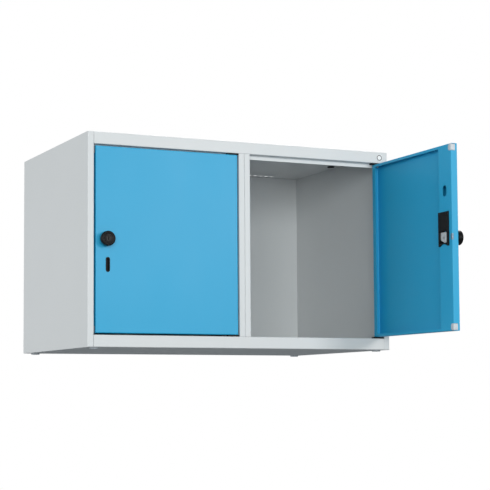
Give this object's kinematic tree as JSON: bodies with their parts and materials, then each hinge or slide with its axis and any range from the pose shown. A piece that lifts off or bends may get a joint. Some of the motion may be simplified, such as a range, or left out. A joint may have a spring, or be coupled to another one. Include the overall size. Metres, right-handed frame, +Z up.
{
  "type": "school locker",
  "caption": "Low steel top locker with compartments side by side, each behind a hinged sheet steel door with a turning knob lock that drives a rack bolt.",
  "frame": {"origin": "middle of the underside of the floor panel, halfway between the two stacking bolt holes and 3.5 mm above the surface the glides rest on", "axes": "+X to the right of someone facing the doors, -Y out through the front where the doors are, +Z up"},
  "size_m": [0.8, 0.8503, 0.5035],
  "materials": {
    "body_paint": "light grey powder coat, satin",
    "door_paint": "light blue powder coat, satin",
    "black_plastic": "moulded, fine matte grain",
    "knob_plastic": "moulded, semi-gloss",
    "pale_plastic": "moulded, soft satin",
    "badge_face": "domed, blank",
    "zinc_steel": "zinc plated",
    "lock_alloy": "nickel plated zinc casting",
    "black_steel": "black passivated steel"
  },
  "bodies": {
    "body": {"left_side_panel": "body_paint", "right_side_panel": "body_paint", "back_panel": "body_paint", "roof_panel": "body_paint", "floor_panel": "body_paint", "left_centre_wall": "body_paint", "right_centre_wall": "body_paint", "roof_plugs": "black_plastic", "blank_badge": "badge_face", "front_left_glide": "pale_plastic", "front_right_glide": "pale_plastic", "back_left_glide": "pale_plastic", "back_right_glide": "pale_plastic", "left_upper_hinge_bush": "black_plastic", "left_lower_hinge_bush": "black_plastic", "right_upper_hinge_bush": "black_plastic", "right_lower_hinge_bush": "black_plastic"},
    "left_door": {"left_door_panel": "door_paint", "left_lock_channel": "door_paint", "left_upper_buffer": "pale_plastic", "left_lower_buffer": "pale_plastic", "left_hinge_gussets": "door_paint", "left_upper_hinge_pin": "zinc_steel", "left_lower_hinge_pin": "zinc_steel", "left_slot_insert": "black_plastic", "left_rosette": "knob_plastic", "left_lock_nut": "zinc_steel", "left_lock_case": "black_plastic", "left_lock_screws": "black_steel"},
    "left_knob_turn": {"left_knob": "knob_plastic", "left_drive_pinion": "lock_alloy"},
    "left_key_plug": {"left_lock_core": "black_steel"},
    "left_lock_bolt": {"left_bolt": "lock_alloy"},
    "right_door": {"right_door_panel": "door_paint", "right_lock_channel": "door_paint", "right_upper_buffer": "pale_plastic", "right_lower_buffer": "pale_plastic", "right_hinge_gussets": "door_paint", "right_upper_hinge_pin": "zinc_steel", "right_lower_hinge_pin": "zinc_steel", "right_slot_insert": "black_plastic", "right_rosette": "knob_plastic", "right_lock_nut": "zinc_steel", "right_lock_case": "black_plastic", "right_lock_screws": "black_steel"},
    "right_knob_turn": {"right_knob": "knob_plastic", "right_drive_pinion": "lock_alloy"},
    "right_key_plug": {"right_lock_core": "black_steel"},
    "right_lock_bolt": {"right_bolt": "lock_alloy"}
  },
  "joints": [
    {"name": "left_door_hinge", "type": "hinge", "parent": "body", "child": "left_door", "pos_m": [-0.0255, -0.2448, 0.25], "axis": [0, 0, 1], "range_deg": [0, 110]},
    {"name": "left_knob_hinge", "type": "hinge", "parent": "left_door", "child": "left_knob_turn", "pos_m": [-0.356, -0.25, 0.25], "axis": [0, -1, 0], "range_deg": [0, 90]},
    {"name": "left_key_hinge", "type": "hinge", "parent": "left_knob_turn", "child": "left_key_plug", "pos_m": [-0.356, -0.25, 0.25], "axis": [0, -1, 0], "range_deg": [0, 90]},
    {"name": "left_bolt_slide", "type": "slide", "parent": "left_door", "child": "left_lock_bolt", "axis": [-1, 0, 0], "range_m": [0, 0.0118]},
    {"name": "right_door_hinge", "type": "hinge", "parent": "body", "child": "right_door", "pos_m": [0.3745, -0.2448, 0.25], "axis": [0, 0, 1], "range_deg": [-90, 20]},
    {"name": "right_knob_hinge", "type": "hinge", "parent": "right_door", "child": "right_knob_turn", "pos_m": [0.3797, -0.5753, 0.25], "axis": [1, 0, 0], "range_deg": [0, 90]},
    {"name": "right_key_hinge", "type": "hinge", "parent": "right_knob_turn", "child": "right_key_plug", "pos_m": [0.3797, -0.5753, 0.25], "axis": [1, 0, 0], "range_deg": [0, 90]},
    {"name": "right_bolt_slide", "type": "slide", "parent": "right_door", "child": "right_lock_bolt", "axis": [0, -1, 0], "range_m": [0, 0.0118]}
  ],
  "couplings": [
    {"joint": "left_bolt_slide", "follows": "left_knob_hinge", "m_per_rad": 0.0075},
    {"joint": "right_bolt_slide", "follows": "right_knob_hinge", "m_per_rad": 0.0075}
  ]
}
